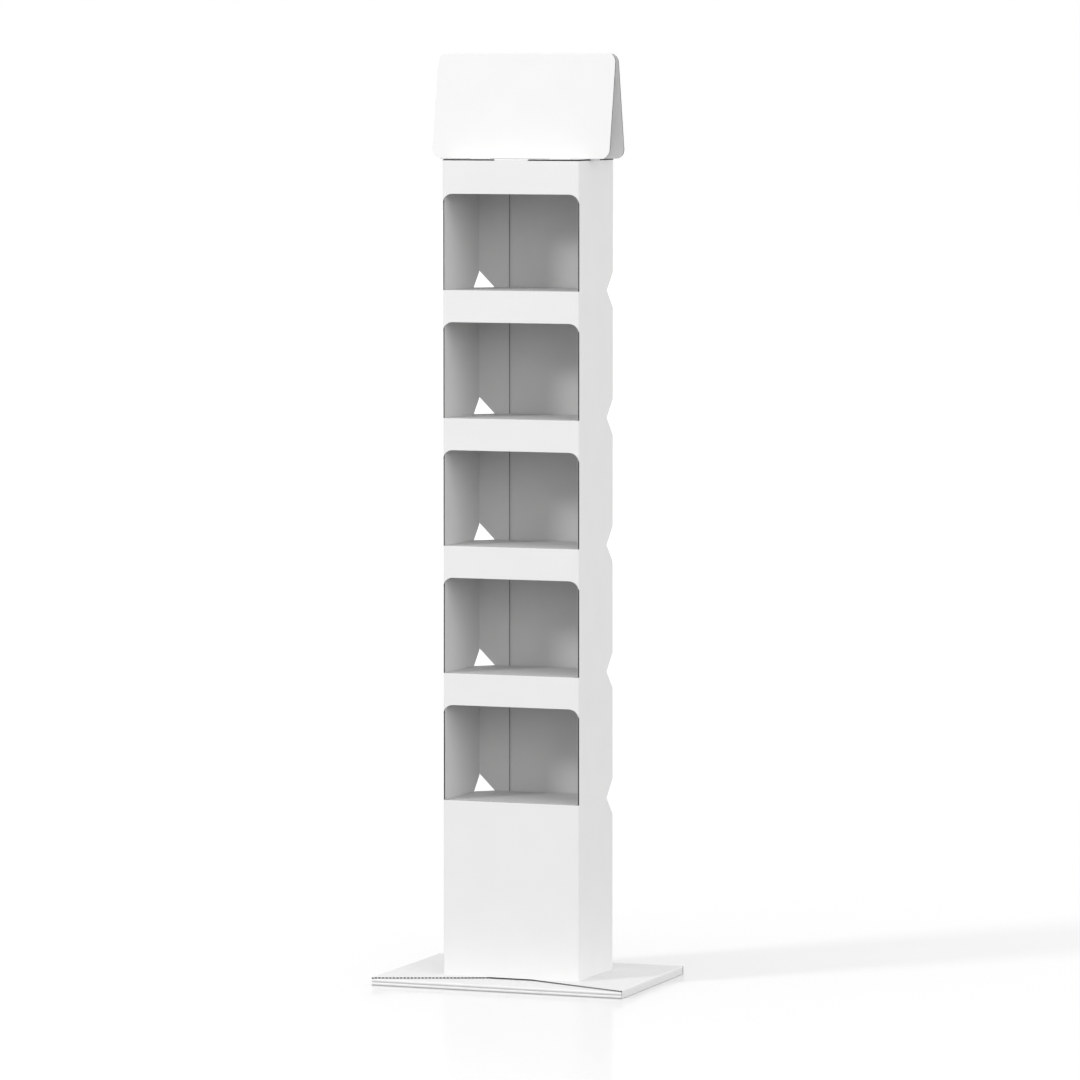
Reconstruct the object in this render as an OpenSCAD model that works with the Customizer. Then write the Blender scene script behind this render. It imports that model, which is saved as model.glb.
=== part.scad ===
// Free-standing cardboard display: a layered base, a folded column with five
// open bays, a shelf in each bay, a top lid and an A-frame header.
// The origin is the middle of the base on the floor; the bays face -Y.

/* [Board] */
// Thickness of the corrugated board
board = 3; // [2:0.5:4]
// Glue film between two glued faces of board
glue_line = 0.3; // [0.1:0.1:0.6]
// Play of a tab in its slot, on each side
slot_play = 0.4; // [0.2:0.1:0.8]

/* [Base] */
// Width of the base, left to right
base_w = 500; // [420:5:600]
// Depth of the base, front to back
base_d = 346; // [290:2:420]
// Width of the straight gap under the front wall of the column
front_gap_w = 90; // [50:2:140]
// How far that gap reaches back from the front face of the column
front_gap_d = 10; // [6:1:20]
// Gap between the flaps of the top sheet and the floor
floor_gap = 0.5; // [0.2:0.1:1]

/* [Column] */
// Outside width of the column
column_w = 272; // [250:2:320]
// Outside depth of the column
column_d = 188; // [170:2:230]
// Height of the closed foot below the lowest window
foot_h = 332; // [250:1:450]
// Width of the glue flap inside the back wall
glue_flap_w = 61; // [40:1:75]
// Width of the tabs that plug the column into the base
foot_tab_w = 60; // [30:1:80]

/* [Bays] */
// Height of a window
window_h = 180; // [140:1:240]
// Height of the front band between two windows
band_h = 60; // [52:1:100]
// Height of the front band above the top window
top_band_h = 62; // [52:1:100]
// Radius of the upper corners of a window
window_r = 20; // [8:1:30]
// Half of the height and of the width of a corner notch laid flat
notch_half = 36; // [20:1:42]
// Middle of a notch below the sill of its window
notch_drop = 2; // [0:0.5:12]

/* [Shelves] */
// Top of a shelf below the sill of its window
shelf_drop = 0; // [0:0.5:6]
// Length of the flaps below a shelf
shelf_flap_h = 40; // [20:1:44]
// Room between the end of a flap and the nearest corner or notch
flap_relief = 6; // [3:1:12]

/* [Lid] */
// Width of the front and back tuck tabs
lid_tab_w = 68; // [40:1:90]
// Width of the side tuck tabs
lid_side_tab_w = 58; // [30:1:80]
// Length of the tuck tabs
lid_tab_h = 40; // [20:1:48]

/* [Header] */
// Width of the header
header_w = 354; // [300:2:420]
// Height of the header above the lid
header_h = 198; // [150:1:260]
// Inside distance between the two panels at the lid
header_spread = 81; // [50:1:110]
// Inside width of the spine between the two top folds
header_spine = 8; // [4:1:16]
// Radius of the corners of the panels
header_r = 18; // [6:1:30]
// Width of the tabs that plug the header into the lid
header_tab_w = 40; // [25:1:60]
// Distance from the middle of the header to the middle of a tab
header_tab_x = 80; // [50:1:95]
// Length of the tabs
header_tab_h = 14; // [8:1:20]

/* [Hidden] */
$fn = 64;
bays = 5;
// Extra length that carries a cut clear of the face it leaves through
past = 1;
// How far the window corners reach past the folds, so that they end in a clean cut
window_over = 0.2;
// How far the core of each fold reaches into the panel, so that they are one sheet
fold_lap = 2;

// Heights above the floor
plate_h = 2 * board + glue_line;
base_top = 2 * plate_h + board;
first_sill = base_top + foot_h;
bay_pitch = window_h + band_h;
column_top = first_sill + bays * bay_pitch - band_h + top_band_h;
lid_top = column_top + board;
function sill(i) = first_sill + (i - 1) * bay_pitch;

// Fold lines of the base's side and back flaps, and the front end of the side flaps,
// which stop a board's thickness behind the front of the base
base_fold_x = base_w / 2 - board;
base_fold_y = base_d / 2 - board;
base_flap_front = -base_d / 2 + board;

// Inside faces of the column, as distances from its axis
inner_x = column_w / 2 - board;
inner_y = column_d / 2 - board;
flap_y = inner_y - glue_line - board;

// Fold lines of the lid tabs and of the shelf flaps, as distances from the axis
lid_fold_x = inner_x - glue_line - board;
lid_fold_y = inner_y - glue_line - board;
shelf_fold_x = inner_x - glue_line - board;
shelf_fold_front = inner_y - glue_line - board;
shelf_fold_back = flap_y - glue_line - board;

// First point of a notch on the side walls and on the back wall
notch_y = column_d / 2 - notch_half;
notch_x = column_w / 2 - notch_half;

// Lean and length of a header panel
header_lean = atan((header_spread - header_spine) / 2 / (header_h - board));
panel_l = (header_h - board) / cos(header_lean);

// Foot tabs reach through the top sheet and the upper leaf of the plate below
foot_tab_h = 2 * board;

white_liner = "whitesmoke";
shelf_liner = "gainsboro";

// Outside round of a fold, centred on the inside corner; sx and sy point outwards
module fold_corner(sx, sy) {
    intersection() {
        circle(board);
        translate([min(sx, 0) * board, min(sy, 0) * board]) square(board);
    }
}

// Section drawn in Y and Z, run along X
module along_x(length) {
    translate([-length / 2, 0, 0]) rotate([90, 0, 90]) linear_extrude(length) children();
}

// Flap folded down at the origin, outside towards -Y; the panel starts at y = 0.
// The flap can stand past the panel's width by an ear at each end
module down_flap(width, drop, ear = 0) {
    along_x(width + 2 * ear) {
        translate([-board, -drop]) square([board, drop]);
        fold_corner(-1, 1);
    }
    along_x(width) translate([-board / 2, 0]) square([board / 2 + fold_lap, board / 2]);
}

// Outline of the slots that take the foot tabs
module foot_slots() {
    slot_t = board + 2 * slot_play;
    slot_l = foot_tab_w + 2 * slot_play;
    for (s = [-1, 1])
        translate([s * (column_w - board) / 2, 0]) square([slot_t, slot_l], center = true);
    translate([0, (column_d - board) / 2]) square([slot_l, slot_t], center = true);
}

// One sheet doubled over, with the fold along the front; behind the fold its sides
// and back end stand inside the flaps of the top sheet
module doubled_plate() {
    fold_y = -base_d / 2 + plate_h / 2;
    back_y = base_fold_y - glue_line;
    side_x = base_fold_x - glue_line;
    shoulder_y = base_flap_front - glue_line;
    difference() {
        along_x(base_w) difference() {
            union() {
                translate([fold_y, 0]) square([back_y - fold_y, plate_h]);
                translate([fold_y, plate_h / 2]) circle(plate_h / 2);
            }
            translate([fold_y, board]) square([back_y - fold_y + past, glue_line]);
        }
        for (s = [0, 1]) mirror([s, 0, 0]) translate([side_x, shoulder_y, -past])
            cube([base_w / 2 - side_x + past, base_d, plate_h + 2 * past]);
    }
}

module base_plate_lower() {
    color(white_liner) doubled_plate();
}

module base_plate_upper() {
    color(white_liner) translate([0, 0, plate_h]) difference() {
        doubled_plate();
        translate([0, 0, board + glue_line / 2]) linear_extrude(plate_h) foot_slots();
    }
}

// Top panel with its front cut back to the column, and flaps down both sides and the back
module base_top_sheet() {
    corner_x = base_w / 2;
    corner_y = base_d / 2;
    gap_x = front_gap_w / 2;
    gap_front = -column_d / 2;
    gap_back = gap_front + front_gap_d;
    flap_drop = 2 * plate_h - floor_gap;
    flap_back = base_fold_y - glue_line;
    color(white_liner) translate([0, 0, 2 * plate_h]) {
        linear_extrude(board) difference() {
            polygon([
                [-base_fold_x, base_fold_y], [-base_fold_x, base_flap_front],
                [-corner_x, base_flap_front], [-corner_x, -corner_y],
                [-gap_x, gap_front], [-gap_x, gap_back], [gap_x, gap_back], [gap_x, gap_front],
                [corner_x, -corner_y], [corner_x, base_flap_front],
                [base_fold_x, base_flap_front], [base_fold_x, base_fold_y]
            ]);
            foot_slots();
        }
        for (s = [-1, 1])
            translate([s * base_fold_x, (base_flap_front + flap_back) / 2, 0]) rotate(s * 90)
                down_flap(flap_back - base_flap_front, flap_drop);
        translate([0, base_fold_y, 0]) rotate(180)
            down_flap(2 * base_fold_x, flap_drop, board);
    }
}

// Plan of the folded sheet: it starts with the glue flap, runs round the left,
// front and right walls, and ends with the back wall outside the flap
module column_plan() {
    translate([-inner_x, flap_y]) square([glue_flap_w, board]);
    translate([-inner_x, flap_y]) fold_corner(-1, 1);
    translate([-column_w / 2, -inner_y]) square([board, inner_y + flap_y]);
    translate([-inner_x, -inner_y]) fold_corner(-1, -1);
    translate([-inner_x, -column_d / 2]) square([2 * inner_x, board]);
    translate([inner_x, -inner_y]) fold_corner(1, -1);
    translate([inner_x, -inner_y]) square([board, 2 * inner_y]);
    translate([inner_x, inner_y]) fold_corner(1, 1);
    translate([-column_w / 2, inner_y]) square([column_w / 2 + inner_x, board]);
}

// Window with round upper corners, drawn in X and Z from the middle of its sill
module window_outline() {
    corner_x = column_w / 2 + window_over - window_r;
    corner_z = window_h - window_r;
    difference() {
        translate([-column_w / 2 - past, 0]) square([column_w + 2 * past, window_h]);
        for (s = [0, 1]) mirror([s, 0]) translate([corner_x, corner_z]) difference() {
            square([window_r + 2 * past, window_r + past]);
            circle(window_r);
        }
    }
}

// Diamond cut, run along Z from the origin
module diamond(depth) {
    linear_extrude(depth) rotate(45) square(notch_half * sqrt(2), center = true);
}

// Diamond notches folded round the two back corners
module corner_notches() {
    for (s = [-1, 1])
        translate([s * inner_x, column_d / 2, 0]) rotate([0, s * 90, 0]) diamond(board + past);
    translate([column_w / 2, inner_y, 0]) rotate([-90, 0, 0]) diamond(board + past);
    translate([-column_w / 2, flap_y, 0]) rotate([-90, 0, 0])
        diamond(column_d / 2 - flap_y + past);
}

module foot_tabs() {
    for (s = [-1, 1])
        translate([s * (column_w - board) / 2, 0, -foot_tab_h / 2])
            cube([board, foot_tab_w, foot_tab_h], center = true);
    translate([0, (column_d - board) / 2, -foot_tab_h / 2])
        cube([foot_tab_w, board, foot_tab_h], center = true);
}

module column() {
    color(white_liner) {
        difference() {
            translate([0, 0, base_top]) linear_extrude(column_top - base_top) column_plan();
            for (i = [1:bays]) {
                translate([0, -inner_y, sill(i)]) rotate([90, 0, 0])
                    linear_extrude(board + past) window_outline();
                translate([0, 0, sill(i) - notch_drop]) corner_notches();
            }
        }
        translate([0, 0, base_top]) foot_tabs();
    }
}

// Shelf number i, counted from the bottom
module shelf(i) {
    side_front = -shelf_fold_front + flap_relief;
    side_back = notch_y - flap_relief;
    color(shelf_liner) translate([0, 0, sill(i) - shelf_drop - board]) {
        linear_extrude(board) polygon([
            [-shelf_fold_x, -shelf_fold_front], [shelf_fold_x, -shelf_fold_front],
            [shelf_fold_x, notch_y], [notch_x, shelf_fold_back],
            [-notch_x, shelf_fold_back], [-shelf_fold_x, notch_y]
        ]);
        translate([0, -shelf_fold_front, 0])
            down_flap(2 * (shelf_fold_x - flap_relief), shelf_flap_h);
        translate([0, shelf_fold_back, 0]) rotate(180)
            down_flap(2 * (notch_x - flap_relief), shelf_flap_h);
        for (s = [-1, 1])
            translate([s * shelf_fold_x, (side_front + side_back) / 2, 0]) rotate(s * 90)
                down_flap(side_back - side_front, shelf_flap_h);
    }
}

// Outline of the slots that take the header tabs
module header_slots() {
    slot_l = header_tab_w + 2 * slot_play;
    slot_in = header_spread / 2 - slot_play;
    slot_t = board / cos(header_lean) + board * tan(header_lean) + 2 * slot_play;
    for (s = [0, 1], x = [-1, 1])
        mirror([0, s]) translate([x * header_tab_x - slot_l / 2, slot_in])
            square([slot_l, slot_t]);
}

module top_lid() {
    front_rim = column_d / 2 - lid_fold_y;
    side_rim = column_w / 2 - lid_fold_x;
    color(white_liner) translate([0, 0, column_top]) {
        linear_extrude(board) difference() {
            square([column_w, column_d], center = true);
            for (s = [0, 1]) {
                mirror([0, s]) translate([-lid_tab_w / 2, lid_fold_y])
                    square([lid_tab_w, front_rim + past]);
                mirror([s, 0]) translate([lid_fold_x, -lid_side_tab_w / 2])
                    square([side_rim + past, lid_side_tab_w]);
            }
            header_slots();
        }
        for (a = [0, 180])
            rotate(a) translate([0, -lid_fold_y, 0]) down_flap(lid_tab_w, lid_tab_h);
        for (a = [90, 270])
            rotate(a) translate([0, -lid_fold_x, 0]) down_flap(lid_side_tab_w, lid_tab_h);
    }
}

// Places a shape that is drawn downwards along a panel from its top fold
module on_panel() {
    translate([header_spine / 2, header_h - board]) rotate(header_lean) children();
}

// What a rounded corner cuts away, drawn in X and Z from the centre of the round
module corner_waste() {
    difference() {
        square(header_r + past);
        circle(header_r);
    }
}

module header() {
    corner_x = header_w / 2 - header_r;
    color(white_liner) translate([0, 0, lid_top]) {
        difference() {
            along_x(header_w) {
                translate([-header_spine / 2, header_h - board]) square([header_spine, board]);
                for (s = [0, 1]) mirror([s, 0]) {
                    on_panel() translate([0, -panel_l]) square([board, panel_l]);
                    translate([header_spine / 2, header_h - board]) fold_corner(1, 1);
                }
            }
            rotate([90, 0, 0]) linear_extrude(2 * header_spread, center = true)
                for (s = [0, 1]) mirror([s, 0]) {
                    translate([corner_x, header_h - header_r]) corner_waste();
                    translate([corner_x, header_r]) mirror([0, 1]) corner_waste();
                }
        }
        for (s = [0, 1], x = [-1, 1])
            mirror([0, s, 0]) translate([x * header_tab_x, 0, 0]) along_x(header_tab_w)
                on_panel() translate([0, -panel_l - header_tab_h]) square([board, header_tab_h]);
    }
}

base_plate_lower();
base_plate_upper();
base_top_sheet();
column();
for (i = [1:bays])
    shelf(i);
top_lid();
header();
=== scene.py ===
import math

import bmesh
import bpy
from mathutils import Matrix, Vector
from mathutils.bvhtree import BVHTree


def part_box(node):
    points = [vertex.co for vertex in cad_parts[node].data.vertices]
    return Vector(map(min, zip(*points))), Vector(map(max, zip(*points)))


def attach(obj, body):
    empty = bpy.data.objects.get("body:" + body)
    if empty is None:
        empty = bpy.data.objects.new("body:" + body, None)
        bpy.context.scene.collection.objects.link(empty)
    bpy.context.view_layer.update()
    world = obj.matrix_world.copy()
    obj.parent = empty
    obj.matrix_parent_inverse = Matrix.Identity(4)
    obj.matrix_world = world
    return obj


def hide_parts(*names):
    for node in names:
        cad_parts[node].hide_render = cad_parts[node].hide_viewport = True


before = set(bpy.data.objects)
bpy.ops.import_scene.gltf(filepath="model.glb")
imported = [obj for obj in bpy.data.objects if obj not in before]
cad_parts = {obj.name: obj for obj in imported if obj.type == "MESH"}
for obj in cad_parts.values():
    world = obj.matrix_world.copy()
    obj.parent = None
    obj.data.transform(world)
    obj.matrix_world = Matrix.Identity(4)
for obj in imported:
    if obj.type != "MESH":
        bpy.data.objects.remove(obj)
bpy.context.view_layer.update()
print("frame loaded:", len(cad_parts), "sheets of board")

mm = 0.001
upright = Vector((0, 0, 1))
frontToBack = Vector((0, 1, 0))

# A long lens from the right of the front, as high as the header and tipped down a little
viewpoint = {
    "place": (4.19263, -11.09171, 1.72290),
    "azimuth": math.radians(20.6003),
    "pitchDown": math.radians(4.2815),
    "lens": 210.378,
    "sensor": 36.0,
    "reach": 300.0,
}


def setCamera():
    tilt = math.radians(90) - viewpoint["pitchDown"]
    bpy.ops.object.camera_add(location=viewpoint["place"], rotation=(tilt, 0, viewpoint["azimuth"]))
    camera = bpy.context.object
    camera.data.sensor_width = viewpoint["sensor"]
    camera.data.lens = viewpoint["lens"]
    camera.data.clip_end = viewpoint["reach"]
    bpy.context.scene.camera = camera


setCamera()
print("camera set")

# The corrugated board that every sheet is cut from
boardStock = {
    "thick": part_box("top_lid")[1].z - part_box("column")[1].z,  # the lid lies on the column's edges
    "liner": 0.24 * mm,
    "medium": 0.45 * mm,  # paper of the fluting
    "pitch": 6.3 * mm,  # from one flute to the next
    "steps": 10,  # straight runs that draw one flute
    "overrun": 0.3 * mm,  # fluting past the edges of a panel, before it is cut
    "inset": 0.12 * mm,  # how far into the liners the fluting reaches
    "mergeGap": 0.002 * mm,
    "planeGap": 0.05 * mm,
    "parallel": 0.9999,
    "crease": math.radians(30),
    "thickRange": 0.2,  # share of the thickness by which two liners may be out
    "farthest": 3.0,  # thicknesses to the far face, past which a face is no liner
    "leastPanel": 60 * mm * mm,
    "leastRun": 0.5,  # share of the flutes' direction that has to lie in the panel
}


# A socket that takes part in Python sums; node() makes every other kind of node
class Shade:
    def __init__(self, tree, socket=None):
        self.tree = tree
        self.socket = socket

    def node(self, kind, settings, sockets, output=0):
        made = self.tree.nodes.new(kind)
        for key, value in settings.items():
            setattr(made, key, value)
        for key, value in sockets.items():
            if isinstance(value, Shade):
                self.tree.links.new(value.socket, made.inputs[key])
            else:
                made.inputs[key].default_value = value
        return Shade(self.tree, made.outputs[output] if made.outputs else None)

    def maths(self, operation, first, second):
        return self.node("ShaderNodeMath", {"operation": operation}, {0: first, 1: second})

    def __add__(self, other):
        return self.maths("ADD", self, other)

    def __radd__(self, other):
        return self.maths("ADD", other, self)

    def __sub__(self, other):
        return self.maths("SUBTRACT", self, other)

    def __rsub__(self, other):
        return self.maths("SUBTRACT", other, self)

    def __mul__(self, other):
        return self.maths("MULTIPLY", self, other)

    def __rmul__(self, other):
        return self.maths("MULTIPLY", other, self)


def newFinish(name):
    finish = bpy.data.materials.new(name)
    finish.use_nodes = True
    finish.node_tree.nodes.clear()
    return finish, Shade(finish.node_tree)


def closeFinish(shade, surface):
    shade.node("ShaderNodeOutputMaterial", {}, {"Surface": surface})


def noise(place, scale, detail, roughness):
    sockets = {"Vector": place, "Scale": scale, "Detail": detail, "Roughness": roughness}
    return place.node("ShaderNodeTexNoise", {}, sockets)


def blend(factor, low, high):
    sockets = {"Factor": factor, "A": low, "B": high}
    return factor.node("ShaderNodeMix", {"data_type": "RGBA"}, sockets, "Result")


def bump(height):
    return height.node("ShaderNodeBump", {}, {"Strength": 1.0, "Distance": 1.0, "Height": height})


# Goes from near to far while value goes from 0 to reach
def ramp(value, reach, near, far):
    sockets = {"Value": value, "From Min": 0.0, "From Max": reach, "To Min": near, "To Max": far}
    return value.node("ShaderNodeMapRange", {}, sockets)


def grey(level):
    return level.node("ShaderNodeCombineColor", {}, {"Red": level, "Green": level, "Blue": level})


# A wave as long as one flute, along the axes that are named
def fluteWave(place, axes):
    along = sum(place.node("ShaderNodeSeparateXYZ", {}, {"Vector": place}, axis) for axis in axes)
    turns = along * (2 * math.pi / boardStock["pitch"])
    return place.node("ShaderNodeMath", {"operation": "COSINE"}, {0: turns})


# Paper liners: tone, and how far fibre and cloudiness carry it up and down
linerFinish = {
    "whiteTone": (0.755, 0.755, 0.752),
    # The grey tone is painted shade: darker than the white liner, it stands in for the shade inside the
    # bays and on the shelves
    "paintedShadeTone": (0.61, 0.61, 0.607),
    "toneSwing": 0.05,
    "fibreShare": 0.6,
    "fibreScale": 1400.0,
    "cloudScale": 14.0,
    "roughness": 0.62,
    "roughnessSwing": 0.16,
    "specular": 0.3,
    "fibreHeight": 0.04 * mm,
    "washboardHeight": 0.01 * mm,
}


# Liner of one tone; washboard names the axes that the flutes show through along
def makeLiner(name, tone, washboard):
    finish, shade = newFinish(name)
    place = shade.node("ShaderNodeTexCoord", {}, {}, "Object")
    fibre = noise(place, scale=linerFinish["fibreScale"], detail=3.0, roughness=0.6)
    cloud = noise(place, scale=linerFinish["cloudScale"], detail=2.0, roughness=0.5)
    swing = linerFinish["fibreShare"] * fibre + (1 - linerFinish["fibreShare"]) * cloud
    low = [channel * (1 - linerFinish["toneSwing"]) for channel in tone] + [1]
    high = [min(1, channel * (1 + linerFinish["toneSwing"])) for channel in tone] + [1]
    ripple = linerFinish["washboardHeight"] * fluteWave(place, washboard)
    surface = shade.node(
        "ShaderNodeBsdfPrincipled", {},
        {
            "Base Color": blend(swing, low, high),
            "Roughness": linerFinish["roughness"] + linerFinish["roughnessSwing"] * (fibre - 0.5),
            "Normal": bump(linerFinish["fibreHeight"] * fibre + ripple),
            "Specular IOR Level": linerFinish["specular"],
        },
    )
    closeFinish(shade, surface)
    return finish


# Fluting between the liners, near black as painted shade in the flute hollows; the striped kind turns
# pale once in each flute, a painted stripe of light on the paper
flutingFinish = {
    "dark": (0.018, 0.017, 0.016, 1),
    "light": (0.055, 0.052, 0.048, 1),
    "litStripe": (0.62, 0.61, 0.59, 1),
    "scale": 900.0,
    "roughness": 0.85,
    "height": 0.03 * mm,
}


def makeFluting(name, striped):
    finish, shade = newFinish(name)
    place = shade.node("ShaderNodeTexCoord", {}, {}, "Object")
    fibre = noise(place, scale=flutingFinish["scale"], detail=3.0, roughness=0.5)
    colour = blend(fibre, flutingFinish["dark"], flutingFinish["light"])
    # The pale stripe is painted light: lit paper once in each flute, between the painted shade of the
    # hollows
    if striped:
        stripe = 0.5 + 0.5 * fluteWave(place, "X")
        colour = blend(stripe * stripe, colour, flutingFinish["litStripe"])
    surface = shade.node(
        "ShaderNodeBsdfPrincipled", {},
        {
            "Base Color": colour,
            "Roughness": flutingFinish["roughness"],
            "Normal": bump(flutingFinish["height"] * fibre),
        },
    )
    closeFinish(shade, surface)
    return finish


# The grey liners carry the painted shade of the bays' insides and the shelves
whiteUpright = makeLiner("whiteLinerUpright", linerFinish["whiteTone"], "XY")
paintedShadeUpright = makeLiner("paintedShadeLinerUpright", linerFinish["paintedShadeTone"], "XY")
whiteFlat = makeLiner("whiteLinerFlat", linerFinish["whiteTone"], "X")
paintedShadeFlat = makeLiner("paintedShadeLinerFlat", linerFinish["paintedShadeTone"], "X")
flutingPlain = makeFluting("flutingPlain", striped=False)
flutingStriped = makeFluting("flutingStriped", striped=True)
print("finishes made")


def only(piece):
    bpy.ops.object.select_all(action="DESELECT")
    piece.select_set(True)
    bpy.context.view_layer.objects.active = piece


def editAll(piece):
    only(piece)
    bpy.ops.object.mode_set(mode="EDIT")
    bpy.ops.mesh.select_mode(type="VERT")
    bpy.ops.mesh.select_all(action="SELECT")


def editDone():
    bpy.ops.object.mode_set(mode="OBJECT")


def applyModifier(piece, kind, **settings):
    only(piece)
    modifier = piece.modifiers.new(kind.title(), kind)
    for key, value in settings.items():
        setattr(modifier, key, value)
    bpy.ops.object.modifier_apply(modifier=modifier.name)


# A copy of a node's mesh, with its loose triangles merged into one closed skin
def solidCopy(node, name):
    copy = bpy.data.objects.new(name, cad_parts[node].data.copy())
    bpy.context.scene.collection.objects.link(copy)
    copy.data.materials.clear()
    only(copy)
    bpy.ops.mesh.customdata_custom_splitnormals_clear()
    editAll(copy)
    bpy.ops.mesh.remove_doubles(threshold=boardStock["mergeGap"])
    editDone()
    return copy


# Faces that run on into each other with no crease between them
def smoothRegions(mesh):
    regions = []
    seen = set()
    for first in mesh.faces:
        if first in seen:
            continue
        seen.add(first)
        region = [first]
        for face in region:
            around = [other for edge in face.edges for other in edge.link_faces]
            for other in around:
                if other not in seen and face.normal.angle(other.normal, math.pi) < boardStock["crease"]:
                    seen.add(other)
                    region.append(other)
        regions.append(region)
    return regions


# A liner has the far face of the board straight behind it, and a cut edge hasn't
def linerOf(tree, region):
    near = []
    backed = 0
    for face in region:
        start = face.calc_center_median() - face.normal * boardStock["mergeGap"]
        hit = tree.ray_cast(start, -face.normal)
        depth = hit[3] / boardStock["thick"] if hit[0] else math.inf
        if depth < boardStock["farthest"]:
            near.append(face)
        if abs(depth - 1) < boardStock["thickRange"]:
            backed += face.calc_area()
    return near if backed > 0.5 * sum(face.calc_area() for face in region) else []


# Flat runs of board: two flat liners that face away from each other, one board apart
def flatPanels(linerFaces):
    planes = []
    for face in linerFaces:
        offset = face.normal.dot(face.verts[0].co)
        for plane in planes:
            level = abs(offset - plane["offset"]) < boardStock["planeGap"]
            if level and face.normal.dot(plane["normal"]) > boardStock["parallel"]:
                break
        else:
            plane = {"normal": face.normal.copy(), "offset": offset, "area": 0, "spots": []}
            planes.append(plane)
        plane["area"] += face.calc_area()
        plane["spots"] += [corner.co.copy() for corner in face.verts]
    planes = [plane for plane in planes if plane["area"] > boardStock["leastPanel"]]
    panels = []
    for index, plane in enumerate(planes):
        for far in planes[index + 1:]:
            gap = plane["offset"] + far["offset"]
            apart = abs(gap / boardStock["thick"] - 1) < boardStock["thickRange"]
            if apart and plane["normal"].dot(far["normal"]) < -boardStock["parallel"]:
                middle = (plane["offset"] - far["offset"]) / 2
                panels.append((plane["normal"], middle, plane["spots"] + far["spots"]))
    return panels


# One flute is drawn step by step, repeated across the panel and given its paper's thickness
def fluteSheet(width, length):
    count = max(1, round(width / boardStock["pitch"]))
    pitch = width / count
    rise = (boardStock["thick"] - boardStock["medium"]) / 2 - boardStock["liner"]
    turn = 2 * math.pi / boardStock["steps"]
    bpy.ops.object.select_all(action="DESELECT")
    bpy.ops.mesh.primitive_plane_add(size=length)
    sheet = bpy.context.object
    editAll(sheet)
    mesh = bmesh.from_edit_mesh(sheet.data)
    for corner in mesh.verts:
        corner.select_set(corner.co.x > 0)
    bmesh.update_edit_mesh(sheet.data)
    bpy.ops.mesh.delete(type="VERT")
    bpy.ops.mesh.select_all(action="SELECT")
    bpy.ops.transform.translate(value=(length / 2, 0, rise))
    for step in range(boardStock["steps"]):
        climb = rise * (math.cos((step + 1) * turn) - math.cos(step * turn))
        move = {"value": (pitch / boardStock["steps"], 0, climb)}
        bpy.ops.mesh.extrude_edges_move(TRANSFORM_OT_translate=move)
    editDone()
    applyModifier(
        sheet, "ARRAY", count=count, use_relative_offset=False, use_constant_offset=True,
        constant_offset_displace=(pitch, 0, 0), use_merge_vertices=True,
        merge_threshold=boardStock["mergeGap"],
    )
    applyModifier(sheet, "SOLIDIFY", thickness=boardStock["medium"], offset=0)
    editAll(sheet)
    bpy.ops.mesh.normals_make_consistent(inside=False)
    editDone()
    return sheet


# The fluting of a whole sheet: a piece for each flat panel, cut off flush by the sheet's own outline
def makeFlutes(name, solid, panels, flutes, turned):
    sheets = []
    for normal, middle, spots in panels:
        along = flutes - normal * flutes.dot(normal)
        if along.length < boardStock["leastRun"]:
            along = turned - normal * turned.dot(normal)
        along.normalize()
        across = along.cross(normal)
        widths = [spot.dot(across) for spot in spots]
        lengths = [spot.dot(along) for spot in spots]
        width = max(widths) - min(widths) + 2 * boardStock["overrun"]
        length = max(lengths) - min(lengths) + 2 * boardStock["overrun"]
        sheet = fluteSheet(width, length)
        start = across * (min(widths) - boardStock["overrun"])
        start += along * (max(lengths) + min(lengths)) / 2 + normal * middle
        turn = Matrix((across, along, normal)).transposed().to_4x4()
        sheet.matrix_world = Matrix.Translation(start) @ turn
        only(sheet)
        bpy.ops.object.transform_apply(location=True, rotation=True, scale=True)
        applyModifier(sheet, "BOOLEAN", object=solid, operation="INTERSECT", solver="EXACT")
        sheets.append(sheet)
    only(sheets[0])
    for sheet in sheets[1:]:
        sheet.select_set(True)
    bpy.ops.object.join()
    joined = bpy.context.object
    joined.name = name
    return joined


# The outline that cuts the fluting ends half way into the liners, so no flute shows through a fold
def sinkLiners(mesh, kept):
    for corner in mesh.verts:
        inward = Vector()
        for loop in corner.link_loops:
            if loop.face.index in kept:
                inward -= loop.face.normal * loop.calc_angle()
        corner.co += inward.normalized() * boardStock["inset"]


# The liner faces of a closed skin and its flat panels; the skin then becomes the cutting outline
def findLiners(solid):
    mesh = bmesh.new()
    mesh.from_mesh(solid.data)
    mesh.faces.ensure_lookup_table()
    tree = BVHTree.FromBMesh(mesh)
    linerFaces = []
    for region in smoothRegions(mesh):
        linerFaces += linerOf(tree, region)
    panels = flatPanels(linerFaces)
    kept = {face.index for face in linerFaces}
    sinkLiners(mesh, kept)
    mesh.to_mesh(solid.data)
    mesh.free()
    return kept, panels


# Takes the cut edges off a closed skin, and gives its outside and its inside their own paper
def keepLiners(board, kept, middle):
    editAll(board)
    bpy.ops.mesh.select_mode(type="FACE")
    bpy.ops.mesh.select_all(action="DESELECT")
    mesh = bmesh.from_edit_mesh(board.data)
    for face in mesh.faces:
        facesOut = face.normal.dot(face.calc_center_median() - middle) > 0
        face.material_index = 0 if facesOut else 1
        face.select_set(face.index not in kept)
    bmesh.update_edit_mesh(board.data)
    bpy.ops.mesh.delete(type="FACE")
    editDone()


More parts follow.
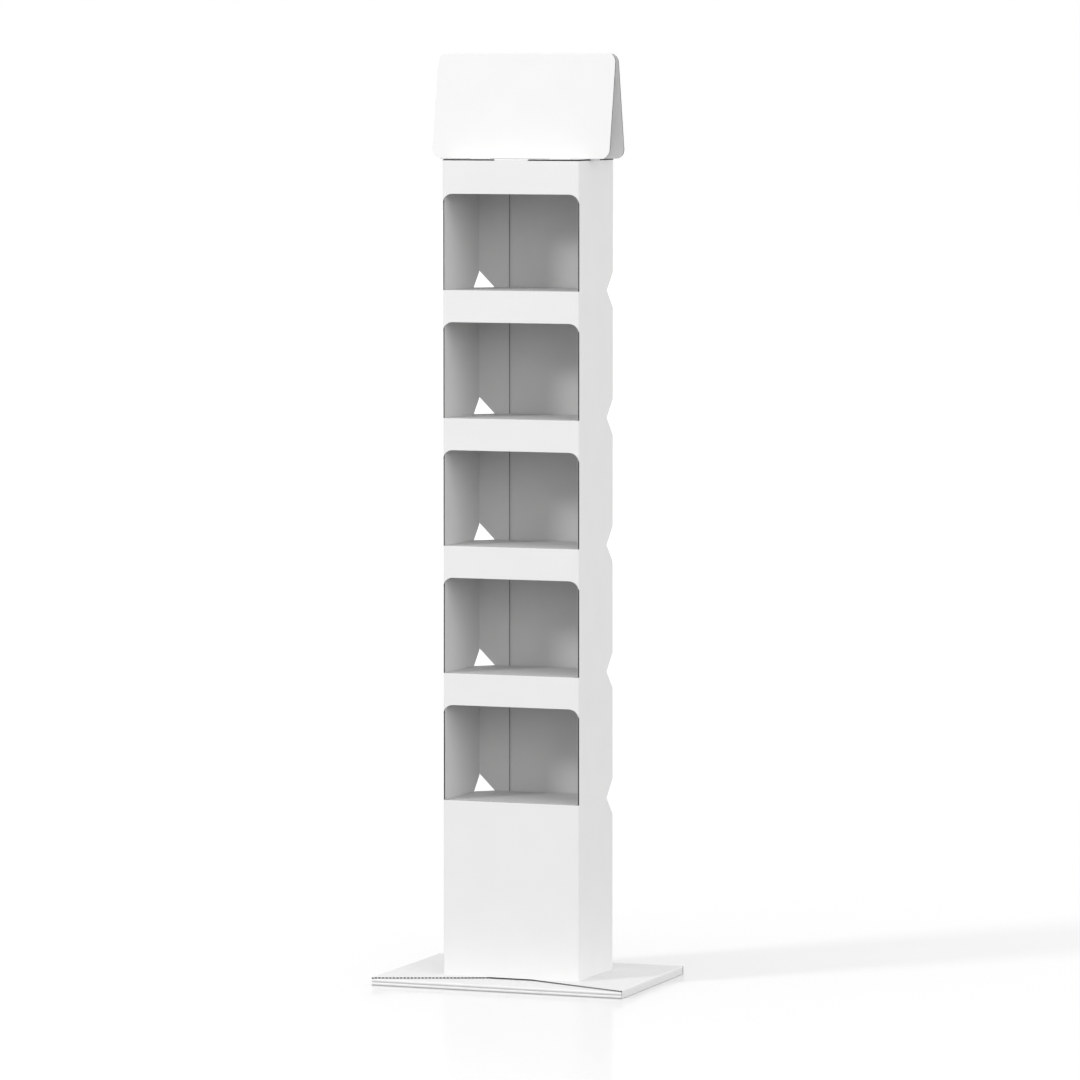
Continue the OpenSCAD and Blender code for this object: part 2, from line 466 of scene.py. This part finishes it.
# One sheet of board in place of a node: its two liners, open at the cut edges, and its fluting
def makeBoard(name, node, outside, inside, fluting, flutes, turned):
    solid = solidCopy(node, name + "Solid")
    board = solidCopy(node, name)
    kept, panels = findLiners(solid)
    for paper in (outside, inside, fluting, fluting):
        board.data.materials.append(paper)
    low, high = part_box(node)
    keepLiners(board, kept, (low + high) / 2)
    # The liners' inner sides take the dark fluting finish: painted shade inside the flute hollows
    applyModifier(
        board, "SOLIDIFY", thickness=boardStock["liner"], offset=-1, use_even_offset=True,
        material_offset=2, material_offset_rim=0,
    )
    flutePaper = makeFlutes(name + "Flutes", solid, panels, flutes, turned)
    flutePaper.data.materials.clear()
    flutePaper.data.materials.append(fluting)
    bpy.data.objects.remove(solid)
    only(board)
    flutePaper.select_set(True)
    bpy.ops.object.join()
    bpy.ops.object.shade_smooth_by_angle(angle=boardStock["crease"])
    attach(board, "root")
    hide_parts(node)
    print(name, "made:", len(panels), "panels,", len(board.data.polygons), "faces")


# Layered base: two plates doubled over and the top sheet with its flaps
baseSheets = {
    "basePlateLower": "base_plate_lower",
    "basePlateUpper": "base_plate_upper",
    "baseTopSheet": "base_top_sheet",
}
for name, node in baseSheets.items():
    makeBoard(name, node, whiteFlat, paintedShadeFlat, flutingStriped, frontToBack, upright)

# Column: white outside, and inside the bays the grey liner, painted shade for the bays' insides
columnSheet = {
    "name": "columnTube",
    "node": "column",
    "outside": whiteUpright,
    "inside": paintedShadeUpright,
    "fluting": flutingPlain,
    "flutes": upright,
    "turned": frontToBack,
}
makeBoard(**columnSheet)

# Shelves, from the lowest bay up, grey on both sides as painted shade inside the bays
shelfSheets = {"count": 5, "name": "shelfTray{}", "node": "shelf_{}"}
for number in range(1, shelfSheets["count"] + 1):
    makeBoard(
        shelfSheets["name"].format(number), shelfSheets["node"].format(number),
        paintedShadeFlat, paintedShadeFlat, flutingStriped, frontToBack, upright,
    )

# Lid with its tuck tabs
lidSheet = {
    "name": "topLid",
    "node": "top_lid",
    "outside": whiteFlat,
    "inside": paintedShadeFlat,
    "fluting": flutingPlain,
    "flutes": frontToBack,
    "turned": upright,
}
makeBoard(**lidSheet)

# Header folded over its spine, white on both sides
headerSheet = {
    "name": "headerTent",
    "node": "header",
    "outside": whiteUpright,
    "inside": whiteUpright,
    "fluting": flutingPlain,
    "flutes": upright,
    "turned": frontToBack,
}
makeBoard(**headerSheet)

# Pale studio floor under soft light
studio = {
    "floorSize": 120.0,
    "floorTone": (0.39, 0.39, 0.39, 1),
    "shadowTone": (0.87, 0.87, 0.87, 1),
    "nearGlow": 0.06,
    "farGlow": 0.4,
    "glowReach": 9.0,
    "gloss": 0.12,
    "glossIor": 1.16,
    "horizonAmbient": 0.88,
    "zenithAmbient": 0.92,
    "keyPlace": (-5.4, -6.12, 4.68),
    "keySize": 1.5,
    "keyPower": 292.0,
    "fillPlace": (6.48, -4.32, 2.5),
    "fillAngle": math.radians(55),
    "fillStrength": 1.5,
    "aim": Vector((0, 0, 0.9)),
}


# What the camera, a reflection or a clear pane sees, as against what lights the stand
def seenRays(shade):
    path = shade.node("ShaderNodeLightPath", {}, {}, "Is Camera Ray")
    lights = path.socket.node
    glossy = Shade(shade.tree, lights.outputs["Is Glossy Ray"])
    clear = Shade(shade.tree, lights.outputs["Is Transmission Ray"])
    return path.maths("MAXIMUM", path.maths("MAXIMUM", path, glossy), clear)


# The floor's glow grows and its shine fades with the distance from the stand
def makeFloor():
    finish, shade = newFinish("studioFloor")
    plain = shade.node("ShaderNodeBsdfDiffuse", {}, {"Color": studio["floorTone"]})
    shadow = shade.node("ShaderNodeBsdfDiffuse", {}, {"Color": studio["shadowTone"]})
    place = shade.node("ShaderNodeTexCoord", {}, {}, "Object")
    reach = shade.node("ShaderNodeVectorMath", {"operation": "LENGTH"}, {0: place}, "Value")
    level = ramp(reach, studio["glowReach"], studio["nearGlow"], studio["farGlow"])
    glow = shade.node("ShaderNodeEmission", {}, {"Color": grey(level), "Strength": 1.0})
    pale = shade.node("ShaderNodeAddShader", {}, {0: shadow, 1: glow})
    mirror = shade.node("ShaderNodeBsdfGlossy", {}, {"Color": (1, 1, 1, 1), "Roughness": studio["gloss"]})
    fade = ramp(reach, studio["glowReach"], 1.0, 0.0)
    shine = fade * shade.node("ShaderNodeFresnel", {}, {"IOR": studio["glossIor"]})
    seen = shade.node("ShaderNodeMixShader", {}, {0: shine, 1: pale, 2: mirror})
    surface = shade.node("ShaderNodeMixShader", {}, {0: seenRays(shade), 1: plain, 2: seen})
    closeFinish(shade, surface)
    bpy.ops.object.select_all(action="DESELECT")
    bpy.ops.mesh.primitive_plane_add(size=studio["floorSize"])
    floor = bpy.context.object
    floor.name = "studioFloor"
    floor.data.materials.append(finish)
    return floor


def makeWorld():
    world = bpy.data.worlds.new("studioLight")
    bpy.context.scene.world = world
    world.use_nodes = True
    world.node_tree.nodes.clear()
    shade = Shade(world.node_tree)
    bearing = shade.node("ShaderNodeTexCoord", {}, {}, "Generated")
    height = shade.node("ShaderNodeSeparateXYZ", {}, {"Vector": bearing}, "Z")
    level = ramp(height, 1.0, studio["horizonAmbient"], studio["zenithAmbient"])
    ambient = shade.node("ShaderNodeBackground", {}, {"Color": grey(level), "Strength": 1.0})
    white = shade.node("ShaderNodeBackground", {}, {"Color": (1, 1, 1, 1), "Strength": 1.0})
    surface = shade.node("ShaderNodeMixShader", {}, {0: seenRays(shade), 1: ambient, 2: white})
    shade.node("ShaderNodeOutputWorld", {}, {"Surface": surface})


def addLamp(name, kind, place, strength, **settings):
    aim = (studio["aim"] - Vector(place)).to_track_quat("-Z", "Y").to_euler()
    bpy.ops.object.light_add(type=kind, location=place, rotation=aim)
    lamp = bpy.context.object
    lamp.name = name
    lamp.data.energy = strength
    for key, value in settings.items():
        setattr(lamp.data, key, value)
    lamp.visible_camera = False
    lamp.visible_glossy = False
    return lamp


# A lamp that passes the floor by throws no second shadow there
def keepOffFloor(lamp, floor):
    unlit = bpy.data.collections.new(lamp.name + "Unlit")
    unlit.objects.link(floor)
    unlit.collection_objects[0].light_linking.link_state = "EXCLUDE"
    lamp.light_linking.receiver_collection = unlit


floor = makeFloor()
makeWorld()
addLamp("keyLamp", "AREA", studio["keyPlace"], studio["keyPower"], shape="DISK", size=studio["keySize"])
fillLamp = addLamp(
    "fillLamp", "SUN", studio["fillPlace"], studio["fillStrength"], angle=studio["fillAngle"],
)
keepOffFloor(fillLamp, floor)
bpy.context.scene.view_settings.view_transform = "Standard"
print("stage and lamps set")
